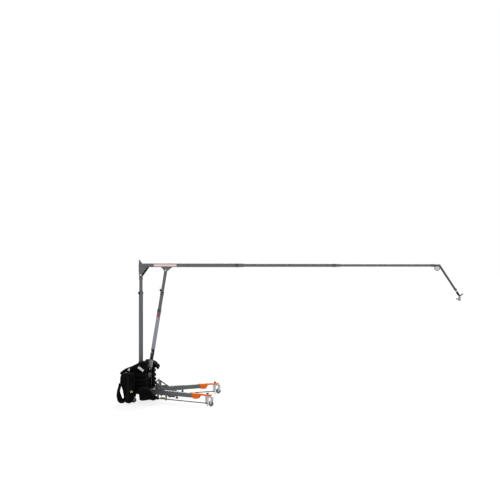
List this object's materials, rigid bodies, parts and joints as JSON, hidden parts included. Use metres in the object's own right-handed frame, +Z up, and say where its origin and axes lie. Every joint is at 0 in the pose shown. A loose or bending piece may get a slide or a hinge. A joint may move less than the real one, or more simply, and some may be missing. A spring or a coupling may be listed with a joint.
{
  "type": "overhead boom arm",
  "caption": "Telescoping overhead boom on a mast, propped by a telescoping strut, on a rolling base with outrigger legs, jacks and stacked sandbags.",
  "frame": {"origin": "on the floor, under the middle of the part's box", "axes": "+X along the boom to its tip, +Y to the far side, +Z up"},
  "size_m": [5.9538, 1.2992, 2.448],
  "materials": {
    "grey_paint": "satin",
    "black_paint": "satin",
    "orange_paint": "satin",
    "zinc": "satin",
    "black_plastic": "matte",
    "wheel_rubber": "matte",
    "bag_cloth": "matte"
  },
  "bodies": {
    "chassis": {"chassis_frame": "black_paint", "mast_outer_tube": "grey_paint", "strut_foot_pin": "zinc", "leg_socket_near": "grey_paint", "leg_socket_far": "grey_paint", "ballast_stack_near": "bag_cloth", "ballast_stack_far": "bag_cloth", "ballast_cap_near": "bag_cloth", "ballast_cap_far": "bag_cloth", "ballast_saddle": "bag_cloth", "ballast_side_bag": "bag_cloth"},
    "pull_pin": {"mast_pull_pin": "black_plastic"},
    "mast": {"mast_inner_tube": "grey_paint", "mast_head": "grey_paint", "boom_pivot_bolt": "zinc"},
    "boom": {"boom_section_1": "grey_paint", "boom_bracket": "grey_paint", "boom_brace_strap": "black_paint", "strut_bracket": "grey_paint"},
    "boom_stage_2": {"boom_section_2": "grey_paint"},
    "boom_stage_3": {"boom_section_3": "grey_paint"},
    "gooseneck": {"gooseneck_arm": "grey_paint"},
    "spud": {"drop_spud": "zinc"},
    "coupler": {"swivel_coupler": "black_paint"},
    "receiver_body": {"receiver": "zinc"},
    "lever": {"tilt_lever": "black_paint"},
    "t_handle": {"receiver_t_handle": "black_paint"},
    "strut_root": {"strut_foot": "grey_paint", "strut_foot_tube": "black_paint"},
    "strut_main": {"strut_main_tube": "grey_paint"},
    "strut_mid": {"strut_mid_tube": "grey_paint"},
    "strut_upper": {"strut_upper_tube": "grey_paint"},
    "boom_knob_1": {"boom_knob_1": "black_plastic"},
    "boom_knob_2": {"boom_knob_2": "black_plastic"},
    "boom_knob_3": {"boom_knob_3": "black_plastic"},
    "gooseneck_knob": {"gooseneck_knob": "black_plastic"},
    "strut_main_knob": {"strut_main_knob": "black_plastic"},
    "strut_mid_knob": {"strut_mid_knob": "black_plastic"},
    "leg_near": {"leg_tube_near": "grey_paint", "leg_end_bracket_near": "orange_paint", "tie_rod_near": "black_paint", "foot_bracket_near": "zinc"},
    "leg_lock_knob_near": {"leg_lock_knob_near": "black_plastic"},
    "jack_screw_near": {"jack_screw_near": "zinc"},
    "jack_knob_near": {"jack_knob_near": "black_plastic"},
    "front_caster_near_fork": {"front_caster_near_fork": "zinc"},
    "front_caster_near_wheel": {"front_caster_near_wheel": "wheel_rubber"},
    "rear_caster_near_fork": {"rear_caster_near_fork": "zinc"},
    "rear_caster_near_wheel": {"rear_caster_near_wheel": "wheel_rubber"},
    "leg_far": {"leg_tube_far": "grey_paint", "leg_end_bracket_far": "orange_paint", "tie_rod_far": "black_paint", "foot_bracket_far": "zinc"},
    "leg_lock_knob_far": {"leg_lock_knob_far": "black_plastic"},
    "jack_screw_far": {"jack_screw_far": "zinc"},
    "jack_knob_far": {"jack_knob_far": "black_plastic"},
    "front_caster_far_fork": {"front_caster_far_fork": "zinc"},
    "front_caster_far_wheel": {"front_caster_far_wheel": "wheel_rubber"},
    "rear_caster_far_fork": {"rear_caster_far_fork": "zinc"},
    "rear_caster_far_wheel": {"rear_caster_far_wheel": "wheel_rubber"}
  },
  "joints": [
    {"name": "mast_raise", "type": "slide", "parent": "chassis", "child": "mast", "axis": [0, 0, 1], "range_m": [-0.1, 0.15]},
    {"name": "mast_pull_pin_pull", "type": "slide", "parent": "chassis", "child": "pull_pin", "axis": [-0.2588, -0.9659, 0], "range_m": [0, 0.012], "stiffness_N_per_m": 1500, "springref_m": -0.004},
    {"name": "boom_luff", "type": "hinge", "parent": "mast", "child": "boom", "pos_m": [-2.6435, 0, 2.18], "axis": [0, -1, 0], "range_deg": [-10, 57]},
    {"name": "strut_swing", "type": "hinge", "parent": "chassis", "child": "strut_root", "pos_m": [-2.4855, 0, 0.535], "axis": [0, -1, 0], "range_deg": [-1.77, 9.17]},
    {"name": "strut_main_run", "type": "slide", "parent": "strut_root", "child": "strut_main", "axis": [0.1609, 0, 0.987], "range_m": [-0.028, 0.1548]},
    {"name": "strut_mid_run", "type": "slide", "parent": "strut_main", "child": "strut_mid", "axis": [0.1609, 0, 0.987], "range_m": [-0.028, 0.1548]},
    {"name": "strut_upper_run", "type": "slide", "parent": "strut_mid", "child": "strut_upper", "axis": [0.1609, 0, 0.987], "range_m": [-0.1023, 0.153]},
    {"name": "boom_stage_2_run", "type": "slide", "parent": "boom", "child": "boom_stage_2", "axis": [1, 0, 0], "range_m": [-1.45, 0]},
    {"name": "boom_stage_3_run", "type": "slide", "parent": "boom_stage_2", "child": "boom_stage_3", "axis": [1, 0, 0], "range_m": [-1.5, 0]},
    {"name": "gooseneck_run", "type": "slide", "parent": "boom_stage_3", "child": "gooseneck", "axis": [1, 0, 0], "range_m": [0, 0.15]},
    {"name": "drop_spud_run", "type": "slide", "parent": "gooseneck", "child": "spud", "axis": [0.5446, 0, -0.8387], "range_m": [-0.02, 0.06]},
    {"name": "coupler_swivel", "type": "hinge", "parent": "spud", "child": "coupler", "pos_m": [2.84971, 0, 1.91389], "axis": [0.5446, 0, -0.8387], "continuous": true},
    {"name": "receiver_tilt", "type": "hinge", "parent": "coupler", "child": "receiver_body", "pos_m": [2.91071, 0, 1.81996], "axis": [0, -1, 0], "range_deg": [-55, 55]},
    {"name": "tilt_lever_turn", "type": "hinge", "parent": "coupler", "child": "lever", "pos_m": [2.91071, 0, 1.81996], "axis": [0, -1, 0], "range_deg": [-55, 35]},
    {"name": "receiver_handle_turn", "type": "hinge", "parent": "receiver_body", "child": "t_handle", "pos_m": [2.91071, 0, 1.76996], "axis": [-1, 0, 0], "range_deg": [0, 360]},
    {"name": "boom_knob_1_turn", "type": "hinge", "parent": "boom", "child": "boom_knob_1", "pos_m": [-0.9505, -0.0483, 2.35], "axis": [0, -1, 0], "range_deg": [0, 360]},
    {"name": "boom_knob_2_turn", "type": "hinge", "parent": "boom_stage_2", "child": "boom_knob_2", "pos_m": [0.7395, -0.0423, 2.35], "axis": [0, -1, 0], "range_deg": [0, 360]},
    {"name": "boom_knob_3_turn", "type": "hinge", "parent": "boom_stage_3", "child": "boom_knob_3", "pos_m": [2.4535, -0.0373, 2.35], "axis": [0, -1, 0], "range_deg": [0, 360]},
    {"name": "gooseneck_knob_turn", "type": "hinge", "parent": "gooseneck", "child": "gooseneck_knob", "pos_m": [2.83773, -0.0313, 1.93234], "axis": [0, -1, 0], "range_deg": [0, 360]},
    {"name": "strut_main_knob_turn", "type": "hinge", "parent": "strut_main", "child": "strut_main_knob", "pos_m": [-2.31915, -0.0488, 1.55553], "axis": [0, -1, 0], "range_deg": [0, 360]},
    {"name": "strut_mid_knob_turn", "type": "hinge", "parent": "strut_mid", "child": "strut_mid_knob", "pos_m": [-2.26927, -0.0458, 1.86149], "axis": [0, -1, 0], "range_deg": [0, 360]},
    {"name": "leg_near_run", "type": "slide", "parent": "chassis", "child": "leg_near", "axis": [0.91, -0.4147, 0], "range_m": [-0.24, 0.15]},
    {"name": "leg_lock_knob_near_turn", "type": "hinge", "parent": "chassis", "child": "leg_lock_knob_near", "pos_m": [-1.95844, -0.32384, 0.1027], "axis": [0, 0, -1], "range_deg": [0, 360]},
    {"name": "jack_screw_near_lift", "type": "slide", "parent": "leg_near", "child": "jack_screw_near", "axis": [0, 0, 1], "range_m": [-0.003, 0.045]},
    {"name": "jack_knob_near_turn", "type": "hinge", "parent": "jack_screw_near", "child": "jack_knob_near", "pos_m": [-1.40155, -0.57763, 0], "axis": [0, 0, 1], "range_deg": [-218, 3242]},
    {"name": "front_caster_near_swivel", "type": "hinge", "parent": "leg_near", "child": "front_caster_near_fork", "pos_m": [-1.32511, -0.61247, 0], "axis": [0, 0, 1], "continuous": true},
    {"name": "front_caster_near_roll", "type": "hinge", "parent": "front_caster_near_fork", "child": "front_caster_near_wheel", "pos_m": [-1.34331, -0.60417, 0.045], "axis": [-0.4147, -0.91, 0], "continuous": true},
    {"name": "rear_caster_near_swivel", "type": "hinge", "parent": "chassis", "child": "rear_caster_near_fork", "pos_m": [-2.6835, -0.32, 0], "axis": [0, 0, 1], "continuous": true},
    {"name": "rear_caster_near_roll", "type": "hinge", "parent": "rear_caster_near_fork", "child": "rear_caster_near_wheel", "pos_m": [-2.7035, -0.32, 0.045], "axis": [0, -1, 0], "continuous": true},
    {"name": "leg_far_run", "type": "slide", "parent": "chassis", "child": "leg_far", "axis": [0.91, 0.4147, 0], "range_m": [-0.24, 0.15]},
    {"name": "leg_lock_knob_far_turn", "type": "hinge", "parent": "chassis", "child": "leg_lock_knob_far", "pos_m": [-1.95844, 0.32384, 0.1027], "axis": [0, 0, -1], "range_deg": [0, 360]},
    {"name": "jack_screw_far_lift", "type": "slide", "parent": "leg_far", "child": "jack_screw_far", "axis": [0, 0, 1], "range_m": [-0.003, 0.045]},
    {"name": "jack_knob_far_turn", "type": "hinge", "parent": "jack_screw_far", "child": "jack_knob_far", "pos_m": [-1.40155, 0.57763, 0], "axis": [0, 0, 1], "range_deg": [-218, 3242]},
    {"name": "front_caster_far_swivel", "type": "hinge", "parent": "leg_far", "child": "front_caster_far_fork", "pos_m": [-1.32511, 0.61247, 0], "axis": [0, 0, 1], "continuous": true},
    {"name": "front_caster_far_roll", "type": "hinge", "parent": "front_caster_far_fork", "child": "front_caster_far_wheel", "pos_m": [-1.34331, 0.60417, 0.045], "axis": [0.4147, -0.91, 0], "continuous": true},
    {"name": "rear_caster_far_swivel", "type": "hinge", "parent": "chassis", "child": "rear_caster_far_fork", "pos_m": [-2.6835, 0.32, 0], "axis": [0, 0, 1], "continuous": true},
    {"name": "rear_caster_far_roll", "type": "hinge", "parent": "rear_caster_far_fork", "child": "rear_caster_far_wheel", "pos_m": [-2.7035, 0.32, 0.045], "axis": [0, -1, 0], "continuous": true}
  ],
  "couplings": [
    {"joint": "strut_swing", "follows": "boom_luff", "ratio": 0.1574},
    {"joint": "strut_main_run", "follows": "boom_luff", "m_per_rad": 0.15455},
    {"joint": "strut_mid_run", "follows": "boom_luff", "m_per_rad": 0.15455},
    {"joint": "strut_upper_run", "follows": "mast_raise", "ratio": 1.0132},
    {"joint": "jack_knob_near_turn", "follows": "jack_screw_near_lift", "rad_per_m": 1256.6},
    {"joint": "jack_knob_far_turn", "follows": "jack_screw_far_lift", "rad_per_m": 1256.6}
  ]
}
